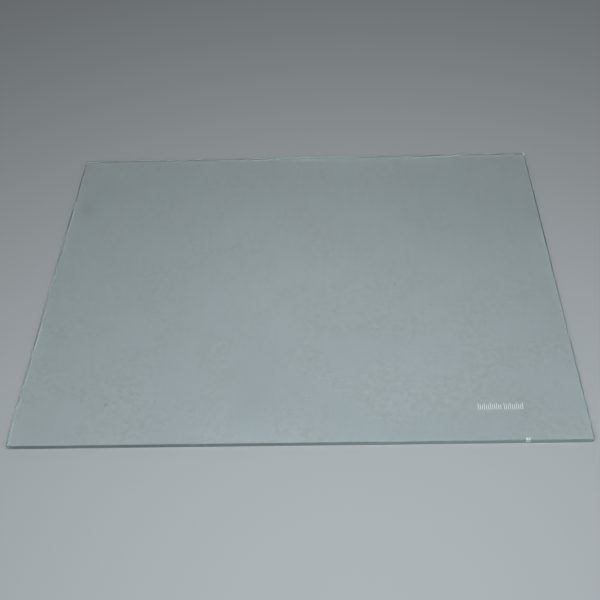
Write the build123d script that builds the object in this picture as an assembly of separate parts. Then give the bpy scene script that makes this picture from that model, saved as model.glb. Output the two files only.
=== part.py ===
from build123d import *

import os
from math import hypot, sqrt

# Fridge glass shelf: one bare pane of toughened float glass, with no trim.
# The pane is cut to a rectangle, its corners are dubbed round, its edges are ground flat with an
# arris along both faces, and it is then toughened. A shell chip has broken out of its front edge.
# X runs along the width, the front edge faces -Y, and +Z is up. The origin is the middle of the
# underside. Lengths are millimetres.

# Pane
pane_width = 440.0
pane_depth = 320.0
pane_thickness = 5.0
corner_radius = 1.5
arris = 0.25

# Chip in the upper front edge: a main flake and a narrower one beside it, towards the right.
# A width runs along the edge, an inset back over the top face, a drop down the edge's ground face.
chip_from_right = 49.75
main_flake_width = 2.9
main_flake_inset = 2.1
main_flake_drop = 4.1
side_flake_spacing = 1.75
side_flake_width = 2.2
side_flake_inset = 1.8
side_flake_drop = 4.2

# How far a flake's centre stands off the glass, as a share of its inset and drop. At 0 its walls meet
# the two faces square, and the more it is, the more shallow they are.
flake_shallowness = 0.5


def ground_pane():
    """The whole pane: a sheet with dubbed corners, and an arris ground along each edge of both faces."""
    sheet = extrude(RectangleRounded(pane_width, pane_depth, corner_radius), pane_thickness)
    face_rims = sheet.faces().filter_by(GeomType.PLANE).filter_by(Axis.Z).edges()
    return chamfer(face_rims, arris)


def flake(from_right, width, inset, drop):
    """The glass lost in one flake: an ellipsoid that cuts the upper front edge to these three sizes."""
    centre_scale = hypot(1 + flake_shallowness, flake_shallowness)
    width_scale = centre_scale / sqrt(1 + 2 * flake_shallowness)
    lost = scale(
        Sphere(1),
        by=(width / 2 * width_scale, inset * centre_scale, drop * centre_scale),
    )
    edge_x = pane_width / 2 - from_right
    centre_y = -pane_depth / 2 - inset * flake_shallowness
    centre_z = pane_thickness + drop * flake_shallowness
    return Pos(edge_x, centre_y, centre_z) * lost


main_flake = flake(chip_from_right, main_flake_width, main_flake_inset, main_flake_drop)
side_flake = flake(
    chip_from_right - side_flake_spacing,
    side_flake_width,
    side_flake_inset,
    side_flake_drop,
)
glass_pane = ground_pane() - main_flake - side_flake

os.makedirs("parts", exist_ok=True)
export_step(glass_pane, "parts/glass_pane.step")
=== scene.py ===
from math import cos, hypot, pi, radians, sin, sqrt, tau

import bmesh
import bpy
from mathutils import Matrix, Vector, noise


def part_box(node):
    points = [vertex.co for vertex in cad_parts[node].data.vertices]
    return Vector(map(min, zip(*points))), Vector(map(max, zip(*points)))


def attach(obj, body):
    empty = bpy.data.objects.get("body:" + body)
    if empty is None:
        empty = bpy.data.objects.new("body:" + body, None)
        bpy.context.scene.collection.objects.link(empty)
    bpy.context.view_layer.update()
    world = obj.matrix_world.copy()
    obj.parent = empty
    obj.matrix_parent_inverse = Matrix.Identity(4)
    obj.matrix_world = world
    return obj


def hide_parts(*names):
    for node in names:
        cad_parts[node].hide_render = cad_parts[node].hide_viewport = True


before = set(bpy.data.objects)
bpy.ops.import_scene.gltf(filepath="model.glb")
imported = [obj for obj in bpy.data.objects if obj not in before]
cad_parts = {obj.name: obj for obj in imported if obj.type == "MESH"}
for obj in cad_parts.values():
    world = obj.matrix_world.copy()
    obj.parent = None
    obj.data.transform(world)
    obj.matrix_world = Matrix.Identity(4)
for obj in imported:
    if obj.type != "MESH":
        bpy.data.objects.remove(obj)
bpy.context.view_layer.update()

# Glass pane: one sheet of clear float glass, cut to size, its corners dubbed round, its edges ground flat
# with an arris along both faces, then toughened in a furnace. It lies loose on ledges in the fridge.
# A shell chip of two flakes has broken out of its upper front edge, and it carries a little dust and smear.
pane_low, pane_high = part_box("glass_pane")
pane_middle = (pane_low + pane_high) / 2
corner_radius = 0.0015
corner_steps = 12
arris = 0.00025

chip_from_right = 0.04975
side_flake_spacing = 0.00175
flake_sizes = {
    "main": {"from_right": chip_from_right, "width": 0.0029, "inset": 0.0021, "drop": 0.0041},
    "side": {
        "from_right": chip_from_right - side_flake_spacing,
        "width": 0.0022,
        "inset": 0.0018,
        "drop": 0.0042,
    },
}
flake_shallowness = 0.5
flake_fineness = 6
ripple_length = 0.00042
ripple_height = 0.000030
hackle_length = 0.00030
hackle_height = 0.000045

TOP_FACE, UNDERSIDE, LAND, ARRIS, FRACTURE = range(5)


def pane_ring(inset, height):
    """Points round the pane at one height, set in from its sides by that much, anticlockwise from above."""
    radius = corner_radius - inset
    points = []
    for quarter, (x_edge, y_edge, x_in, y_in) in enumerate([
        (pane_high.x, pane_high.y, -1, -1),
        (pane_low.x, pane_high.y, 1, -1),
        (pane_low.x, pane_low.y, 1, 1),
        (pane_high.x, pane_low.y, -1, 1),
    ]):
        for step in range(corner_steps + 1):
            turn = (quarter + step / corner_steps) * pi / 2
            x = x_edge + x_in * corner_radius + radius * cos(turn)
            y = y_edge + y_in * corner_radius + radius * sin(turn)
            points.append((x, y, height))
    return points


def ground_sheet():
    """The whole pane, before it was chipped, with the finish of each face marked."""
    build = bmesh.new()
    finish = build.faces.layers.float.new("finish")
    rings = [
        [build.verts.new(point) for point in pane_ring(inset, height)]
        for inset, height in [
            (arris, pane_low.z),
            (0, pane_low.z + arris),
            (0, pane_high.z - arris),
            (arris, pane_high.z),
        ]
    ]
    for lower, upper, edge_finish in zip(rings, rings[1:], [ARRIS, LAND, ARRIS]):
        for here in range(len(lower)):
            there = (here + 1) % len(lower)
            side = build.faces.new([lower[here], lower[there], upper[there], upper[here]])
            side[finish] = edge_finish
    build.faces.new(reversed(rings[0]))[finish] = UNDERSIDE
    build.faces.new(rings[-1])[finish] = TOP_FACE
    mesh = bpy.data.meshes.new("sheet")
    build.to_mesh(mesh)
    build.free()
    return mesh


def flake_lost(from_right, width, inset, drop):
    """The glass lost in one flake: an ellipsoid with the shell ripples that run out from the blow."""
    centre_scale = hypot(1 + flake_shallowness, flake_shallowness)
    width_scale = centre_scale / sqrt(1 + 2 * flake_shallowness)
    blow = Vector((pane_high.x - from_right, pane_low.y, pane_high.z))
    centre = blow + Vector((0, -inset * flake_shallowness, drop * flake_shallowness))
    reach = Vector((width / 2 * width_scale, inset * centre_scale, drop * centre_scale))
    build = bmesh.new()
    finish = build.faces.layers.float.new("finish")
    bmesh.ops.create_icosphere(build, subdivisions=flake_fineness, radius=1)
    for vertex in build.verts:
        outward = vertex.co.normalized()
        place = centre + outward * reach
        from_blow = (place - blow).length
        ripple = ripple_height * sin(tau * from_blow / ripple_length)
        hackle = hackle_height * noise.noise(place / hackle_length)
        vertex.co = place + outward * (ripple + hackle)
    for face in build.faces:
        face[finish] = FRACTURE
    mesh = bpy.data.meshes.new("flake")
    build.to_mesh(mesh)
    build.free()
    return mesh


def take_out(mesh, lost):
    """The mesh less the glass lost, with the finish of each carried over."""
    whole = bpy.data.objects.new("whole", mesh)
    cutter = bpy.data.objects.new("cutter", lost)
    bpy.context.scene.collection.objects.link(whole)
    bpy.context.scene.collection.objects.link(cutter)
    cut = whole.modifiers.new("cut", "BOOLEAN")
    cut.operation = "DIFFERENCE"
    cut.solver = "EXACT"
    cut.object = cutter
    bpy.context.view_layer.update()
    left = bpy.data.meshes.new_from_object(whole.evaluated_get(bpy.context.evaluated_depsgraph_get()))
    bpy.data.objects.remove(whole)
    bpy.data.objects.remove(cutter)
    return left


pane_mesh = ground_sheet()
for sizes in flake_sizes.values():
    pane_mesh = take_out(pane_mesh, flake_lost(**sizes))

shelf_pane = bpy.data.objects.new("shelf_pane", pane_mesh)
bpy.context.scene.collection.objects.link(shelf_pane)

crease_angle = radians(30)


def mark_sharp(mesh):
    """Smooth shading, with a crease at each ground corner and wherever the finish changes."""
    mesh.polygons.foreach_set("use_smooth", [True] * len(mesh.polygons))
    mesh.set_sharp_from_angle(angle=crease_angle)
    finish = [value.value for value in mesh.attributes["finish"].data]
    beside = {}
    for face in mesh.polygons:
        for edge in face.edge_keys:
            beside.setdefault(edge, set()).add(finish[face.index])
    for edge in mesh.edges:
        if len(beside[edge.key]) > 1:
            edge.use_edge_sharp = True


mark_sharp(pane_mesh)


def node_adder(tree):
    """A function that adds nodes to this node tree."""

    def add(kind, feeds=(), **settings):
        """A node with these settings, fed by pairs of its input's name or number and a socket or value."""
        node = tree.nodes.new(kind)
        for setting, value in settings.items():
            setattr(node, setting, value)
        for into, source in feeds:
            if isinstance(source, bpy.types.NodeSocket):
                tree.links.new(source, node.inputs[into])
            else:
                node.inputs[into].default_value = source
        return node

    return add


def new_material(name):
    """A new material, a function that adds nodes to it, its Principled shader and its links."""
    material = bpy.data.materials.new(name)
    material.use_nodes = True
    tree = material.node_tree
    return material, node_adder(tree), tree.nodes["Principled BSDF"], tree.links


def maths(add, operation, *values):
    """The result of one step of arithmetic on sockets and numbers."""
    return add("ShaderNodeMath", enumerate(values), operation=operation).outputs[0]


def ramp(add, value, start, end, low=0.0, high=1.0):
    """A smooth ramp, from low where the value is start to high where it is end."""
    feeds = [("Value", value), ("From Min", start), ("From Max", end), ("To Min", low), ("To Max", high)]
    return add("ShaderNodeMapRange", feeds, interpolation_type="SMOOTHSTEP").outputs["Result"]


def mixed(add, share, first, second):
    """Two colours mixed, with this share of the second."""
    return add("ShaderNodeMix", [("Factor", share), (6, first), (7, second)], data_type="RGBA").outputs[2]


noise_middle = 0.5
fine_detail = 3.0


def blotches(add, place, sizes, detail=2.0, twist=0.0):
    """Soft noise about its middle, in blotches of about these sizes along X, Y and Z."""
    stretched = add("ShaderNodeVectorMath", [(0, place), (1, sizes)], operation="DIVIDE").outputs[0]
    feeds = [("Vector", stretched), ("Scale", 1.0), ("Detail", detail), ("Distortion", twist)]
    return add("ShaderNodeTexNoise", feeds).outputs["Fac"]


# Each finish of the glass has a colour, a cover, which is the share of it that is dull and not clear, and a
# roughness. The grinding wheel leaves fine lines that run along the lands and arrises. The edges are made
# duller and greener towards the front right corner, as painted shade that darkens the edge lines there, so
# colour and cover are given far from it and at it. The right half of the rear land is as dull as that
# corner, which is painted shade too.
glass_ior = 1.52
absorption_colour = (0.10, 0.55, 0.54, 1)
absorption_density = 17.5
clear_white = (1, 1, 1, 1)
finish_tolerance = 0.1
# The second ground colour, the greener one, is painted shade at the front right corner.
ground_colours = [(0.78, 0.97, 0.99, 1), (0.68, 0.92, 0.92, 1)]
fracture_colour = (0.93, 0.97, 0.96, 1)
edge_finishes = {
    LAND: {
        "colour": ground_colours,
        "cover": [0.19, 0.32],
        "roughness": 0.24,
    },
    ARRIS: {
        "colour": ground_colours,
        "cover": [0.06, 0.06],
        "roughness": 0.13,
    },
    FRACTURE: {
        "colour": [fracture_colour, fracture_colour],
        "cover": [0.36, 0.36],
        "roughness": 0.16,
    },
}
grind_sizes = (0.090, 0.090, 0.00028)
grind_swing = 0.5
grind_depth = 0.000002

toughened_glass, add, shader, links = new_material("toughened_glass")
place = add("ShaderNodeTexCoord").outputs["Object"]
along, across, height = add("ShaderNodeSeparateXYZ", [(0, place)]).outputs
finish = add("ShaderNodeAttribute", attribute_name="finish").outputs["Fac"]
on = {
    number: maths(add, "COMPARE", finish, number, finish_tolerance)
    for number in (TOP_FACE, *edge_finishes)
}
towards_corner = maths(add, "SUBTRACT", along, across)
# Painted shade: the edges go duller and greener towards the front right corner.
painted_corner_shade = ramp(add, towards_corner, pane_low.x - pane_low.y, pane_high.x - pane_low.y)
# Painted shade: the right half of the rear land is made as dull as that corner.
at_rear = ramp(add, across, pane_high.y - corner_radius, pane_high.y)
painted_rear_shade = maths(add, "MULTIPLY", at_rear, ramp(add, along, pane_low.x, pane_middle.x))
painted_edge_shade = maths(add, "MAXIMUM", painted_corner_shade, painted_rear_shade)
colour, cover, roughness = clear_white, 0.0, 0.0
for number, look in edge_finishes.items():
    colour = mixed(add, on[number], colour, mixed(add, painted_corner_shade, *look["colour"]))
    # The cover of each edge finish carries the painted shade.
    cover_with_painted_shade = ramp(add, painted_edge_shade, 0.0, 1.0, *look["cover"])
    cover = maths(add, "MULTIPLY_ADD", on[number], cover_with_painted_shade, cover)
    roughness = maths(add, "MULTIPLY_ADD", on[number], look["roughness"], roughness)

ground = maths(add, "ADD", on[LAND], on[ARRIS])
grinding = blotches(add, place, grind_sizes, detail=fine_detail)
wheel_marks = maths(add, "MULTIPLY", maths(add, "SUBTRACT", grinding, noise_middle), ground)
wheel_lines = maths(add, "MULTIPLY_ADD", wheel_marks, grind_swing, 1.0)
cover = maths(add, "MULTIPLY", cover, wheel_lines)
roughness = maths(add, "MULTIPLY", roughness, wheel_lines)
bump = add("ShaderNodeBump", [("Height", wheel_marks), ("Distance", grind_depth), ("Strength", 1.0)])

# The break is crushed white down the middle of each flake, below the blow, and clear further down and along
# the ridge between the two.
crushed_depth = 0.0017
crushed_fade = 0.0012
crushed_middle = 0.14
crushed_reach = 0.40
crushed_cover = 0.39
crushed_roughness = 0.35
crumb_sizes = (0.00022, 0.00022, 0.00022)
crumb_range = (0.30, 0.55)
crumb_least = 0.35
middles = 0.0
for sizes in flake_sizes.values():
    off_middle = maths(add, "ABSOLUTE", maths(add, "SUBTRACT", along, pane_high.x - sizes["from_right"]))
    middle = ramp(add, off_middle, sizes["width"] * crushed_reach, sizes["width"] * crushed_middle)
    middles = maths(add, "MAXIMUM", middle, middles)
crumbs = ramp(add, blotches(add, place, crumb_sizes), *crumb_range, crumb_least, 1.0)
crushed_above = pane_high.z - crushed_depth
crushed = maths(add, "MULTIPLY", ramp(add, height, crushed_above - crushed_fade, crushed_above), crumbs)
crushed = maths(add, "MULTIPLY", crushed, middles)
crushed = maths(add, "MULTIPLY", crushed, on[FRACTURE])
cover = maths(add, "MULTIPLY_ADD", crushed, crushed_cover, cover)
roughness = maths(add, "MULTIPLY_ADD", crushed, crushed_roughness, roughness)

# Dust lies on the top face in patches, thicker towards the front, as a faint mottle with fine grains in it.
# Wiping has left long curved smears, and a few specks of dirt are stuck on.
patch_sizes = (0.055, 0.045, 0.05)
patch_range = (0.36, 0.62)
dust_back = 0.02
dust_back_share = 0.50
dust_front = -0.13
mottle_sizes = (0.0042, 0.0042, 0.0042)
mottle_range = (0.38, 0.68)
mottle_cover = 0.052
grain_sizes = (0.0014, 0.0014, 0.0014)
grain_range = (0.60, 0.72)
grain_cover = 0.105
smear_sizes = (0.016, 0.075, 0.05)
smear_twist = 1.6
smear_range = (0.05, 0.0)
smear_cover = 0.012
smear_roughness = 0.10
dusty = maths(
    add,
    "MULTIPLY",
    ramp(add, blotches(add, place, patch_sizes), *patch_range),
    ramp(add, across, dust_back, dust_front, dust_back_share, 1.0),
)
mottle = ramp(add, blotches(add, place, mottle_sizes, detail=fine_detail), *mottle_range)
grains = ramp(add, blotches(add, place, grain_sizes), *grain_range)
dust = maths(add, "MULTIPLY_ADD", grains, grain_cover, maths(add, "MULTIPLY", mottle, mottle_cover))
wiped = blotches(add, place, smear_sizes, detail=fine_detail, twist=smear_twist)
off_ridge = maths(add, "ABSOLUTE", maths(add, "SUBTRACT", wiped, noise_middle))
smear = maths(add, "MULTIPLY", ramp(add, off_ridge, *smear_range), on[TOP_FACE])
film = maths(add, "MULTIPLY", maths(add, "MULTIPLY", dusty, dust), on[TOP_FACE])
film = maths(add, "MULTIPLY_ADD", smear, smear_cover, film)
cover = maths(add, "ADD", cover, film)
roughness = maths(add, "MULTIPLY_ADD", smear, smear_roughness, roughness)

# Specks of dirt on the top face: each one's place, its radius and how much of the glass it hides.
dirt_colour = (0.055, 0.055, 0.05, 1)
dirt_specks = [
    (-0.150, -0.125, 0.0019, 0.55),
    (-0.151, -0.131, 0.0009, 0.30),
    (-0.124, -0.129, 0.0009, 0.30),
    (-0.112, -0.123, 0.0008, 0.24),
    (-0.126, -0.116, 0.0008, 0.24),
    (0.008, -0.121, 0.0009, 0.26),
    (0.081, -0.007, 0.0010, 0.26),
    (0.110, -0.031, 0.0009, 0.26),
    (0.154, -0.006, 0.0008, 0.20),
]
wobble_sizes = (0.0012, 0.0012, 0.0012)
wobble_range = (0.3, 0.7)
wobble_scales = (0.7, 1.4)
wobble = ramp(add, blotches(add, place, wobble_sizes), *wobble_range, *wobble_scales)
dirt = 0.0
for x, y, radius, hides in dirt_specks:
    from_speck = add("ShaderNodeVectorMath", [(0, place), (1, (x, y, pane_high.z))], operation="DISTANCE")
    ragged = maths(add, "MULTIPLY", from_speck.outputs["Value"], wobble)
    dirt = maths(add, "ADD", ramp(add, ragged, radius, 0.0, 0.0, hides), dirt)
dirt = maths(add, "MULTIPLY", dirt, on[TOP_FACE])
colour = mixed(add, dirt, colour, dirt_colour)
cover = maths(add, "ADD", cover, dirt)

links.new(colour, shader.inputs["Base Color"])
links.new(roughness, shader.inputs["Roughness"])
links.new(maths(add, "SUBTRACT", 1.0, cover), shader.inputs["Transmission Weight"])
links.new(bump.outputs["Normal"], shader.inputs["Normal"])
shader.inputs["IOR"].default_value = glass_ior
tint = add("ShaderNodeVolumeAbsorption", [("Color", absorption_colour), ("Density", absorption_density)])
links.new(tint.outputs[0], toughened_glass.node_tree.nodes["Material Output"].inputs["Volume"])

pane_mesh.materials.clear()
pane_mesh.materials.append(toughened_glass)
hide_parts("glass_pane")
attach(shelf_pane, "root")

# Printed mark: a small white mark near the front right corner, screen printed in enamel on the top face
# and fired into the glass as it was toughened. It is two groups of plain upright strokes.
mark_left = 0.1372
mark_base = -0.1339
stroke_width = 0.00038
stroke_pitch = 0.00155
tall_stroke = 0.0058
short_stroke = 0.0046
tall_every = 3
group_gap = 0.00115
strokes_in_group = (12, 10)
stroke_round_steps = 6
enamel_proud = 0.000012
enamel_sunk = 0.000006


def stroke(build, left, base, height):
    """One printed stroke with round ends, as a closed plate fused a little way into the glass."""
    radius = stroke_width / 2
    outline = []
    for middle, first_turn in [(base + height - radius, 0), (base + radius, pi)]:
        for step in range(stroke_round_steps + 1):
            turn = first_turn + pi * step / stroke_round_steps
            outline.append((left + radius + radius * cos(turn), middle + radius * sin(turn)))
    lower = [build.verts.new((x, y, pane_high.z - enamel_sunk)) for x, y in outline]
    upper = [build.verts.new((x, y, pane_high.z + enamel_proud)) for x, y in outline]
    build.faces.new(reversed(lower))
    build.faces.new(upper)
    for here in range(len(outline)):
        there = (here + 1) % len(outline)
        build.faces.new([lower[here], lower[there], upper[there], upper[here]])


build = bmesh.new()
left = mark_left
for count in strokes_in_group:
    for number in range(count):
        stroke(build, left, mark_base, short_stroke if number % tall_every else tall_stroke)
        left += stroke_pitch
    left += group_gap
mark_mesh = bpy.data.meshes.new("printed_mark")
build.to_mesh(mark_mesh)
build.free()
printed_mark = bpy.data.objects.new("printed_mark", mark_mesh)
bpy.context.scene.collection.objects.link(printed_mark)

# The enamel is a little uneven, as it went through the mesh of the screen, and thinner in places.
enamel_white = (0.77, 0.81, 0.82, 1)
enamel_thin = (0.62, 0.66, 0.67, 1)
enamel_mottle_sizes = (0.0009, 0.0009, 0.0009)
enamel_thin_range = (0.48, 0.70)
screen_mesh_sizes = (0.00012, 0.00012, 0.00012)
screen_mesh_range = (0.3, 0.7)
screen_mesh_detail = 1.0
enamel_roughness = (0.36, 0.55)
enamel_depth = 0.000004
white_enamel, add, shader, links = new_material("white_enamel")
place = add("ShaderNodeTexCoord").outputs["Object"]
thin = ramp(add, blotches(add, place, enamel_mottle_sizes, detail=fine_detail), *enamel_thin_range)
mesh_marks = blotches(add, place, screen_mesh_sizes, detail=screen_mesh_detail)
colour = mixed(add, thin, enamel_white, enamel_thin)
bump = add("ShaderNodeBump", [("Height", mesh_marks), ("Distance", enamel_depth), ("Strength", 1.0)])
links.new(colour, shader.inputs["Base Color"])
enamel_sheen = ramp(add, mesh_marks, *screen_mesh_range, *enamel_roughness)
links.new(enamel_sheen, shader.inputs["Roughness"])
links.new(bump.outputs["Normal"], shader.inputs["Normal"])
mark_mesh.materials.append(white_enamel)
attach(printed_mark, "root")

# Floor: a plain pale surface that the pane lies on, just clear of its underside.
# It is no part of the shelf, and it runs out far past the view on every side.
floor_reach = 6.0
floor_sides = 96
floor_gap = 0.0003
floor_colour = (0.300, 0.327, 0.341, 1)
floor_roughness = 0.9
floor_shine = 0.1
build = bmesh.new()
bmesh.ops.create_circle(build, cap_ends=True, segments=floor_sides, radius=floor_reach)
floor_mesh = bpy.data.meshes.new("floor")
build.to_mesh(floor_mesh)
build.free()
floor = bpy.data.objects.new("floor", floor_mesh)
floor.location.z = pane_low.z - floor_gap
bpy.context.scene.collection.objects.link(floor)
pale_floor, add, shader, links = new_material("pale_floor")
shader.inputs["Base Color"].default_value = floor_colour
shader.inputs["Roughness"].default_value = floor_roughness
shader.inputs["Specular IOR Level"].default_value = floor_shine
floor_mesh.materials.append(pale_floor)

# Light: a plain soft studio. One wide soft lamp hangs before the pane, above the camera, and a pale room
# lights the rest. The wall across from the camera is a little brighter, and the glass mirrors it faintly
# towards its front.
lamp_place = Vector((0.050, -0.352, 0.67))
lamp_target = Vector((0.0, -0.05, 0.0))
lamp_width = 0.48
lamp_height = 0.34
lamp_power = 6.3
lamp = bpy.data.objects.new("lamp", bpy.data.lights.new("lamp", "AREA"))
lamp.data.shape = "RECTANGLE"
lamp.data.size = lamp_width
lamp.data.size_y = lamp_height
lamp.data.energy = lamp_power
lamp.location = lamp_place
lamp.rotation_euler = (lamp_target - lamp_place).to_track_quat("-Z", "Y").to_euler()
lamp.visible_camera = False
bpy.context.scene.collection.objects.link(lamp)

room_colour = (1, 1, 1, 1)
room_level = 0.20
wall_glow = 0.33
wall_glow_tightness = 56
wall_glow_turn = radians(-3)
wall_glow_elevation = radians(51)
room = bpy.data.worlds.new("room")
bpy.context.scene.world = room
room.use_nodes = True
add = node_adder(room.node_tree)
level_part = cos(wall_glow_elevation)
glow_direction = (
    sin(wall_glow_turn) * level_part,
    cos(wall_glow_turn) * level_part,
    sin(wall_glow_elevation),
)
direction = add("ShaderNodeTexCoord").outputs["Generated"]
facing = add("ShaderNodeVectorMath", [(0, direction), (1, glow_direction)], operation="DOT_PRODUCT")
fall = maths(add, "MULTIPLY_ADD", facing.outputs["Value"], wall_glow_tightness, -wall_glow_tightness)
level = maths(add, "MULTIPLY_ADD", maths(add, "EXPONENT", fall), wall_glow, room_level)
background = room.node_tree.nodes["Background"]
background.inputs["Color"].default_value = room_colour
room.node_tree.links.new(level, background.inputs["Strength"])

# Camera: where the photograph was taken from, looking down on the pane from before its front edge.
# It has that lens, that tilt and that small sideways framing.
frame_pixels = 600
sensor_width = 36
clip_start = 0.01
focal_pixels = 772.90
centre_pixel_x = 321.05
camera_place = Vector((0.03096, -0.43796, 0.51856))
camera_turn = radians(-1.900)
camera_pitch = radians(51.126)
camera_roll = radians(-2.399)
level_forward = Vector((sin(camera_turn), cos(camera_turn), 0))
level_right = Vector((cos(camera_turn), -sin(camera_turn), 0))
forward = cos(camera_pitch) * level_forward - sin(camera_pitch) * Vector((0, 0, 1))
level_up = level_right.cross(forward)
right = cos(camera_roll) * level_right + sin(camera_roll) * level_up
up = cos(camera_roll) * level_up - sin(camera_roll) * level_right
camera = bpy.data.objects.new("camera", bpy.data.cameras.new("camera"))
camera.matrix_world = Matrix.Translation(camera_place) @ Matrix((right, up, -forward)).transposed().to_4x4()
camera.data.sensor_width = sensor_width
camera.data.lens = sensor_width * focal_pixels / frame_pixels
camera.data.shift_x = (frame_pixels / 2 - centre_pixel_x) / frame_pixels
camera.data.clip_start = clip_start
bpy.context.scene.collection.objects.link(camera)
bpy.context.scene.camera = camera

# Light goes back and forth many times between the faces of the glass before it comes out at an edge.
glass_bounces = 48
bpy.context.scene.view_settings.view_transform = "Standard"
bpy.context.scene.cycles.max_bounces = glass_bounces
bpy.context.scene.cycles.transmission_bounces = glass_bounces
bpy.context.scene.cycles.blur_glossy = 0.0
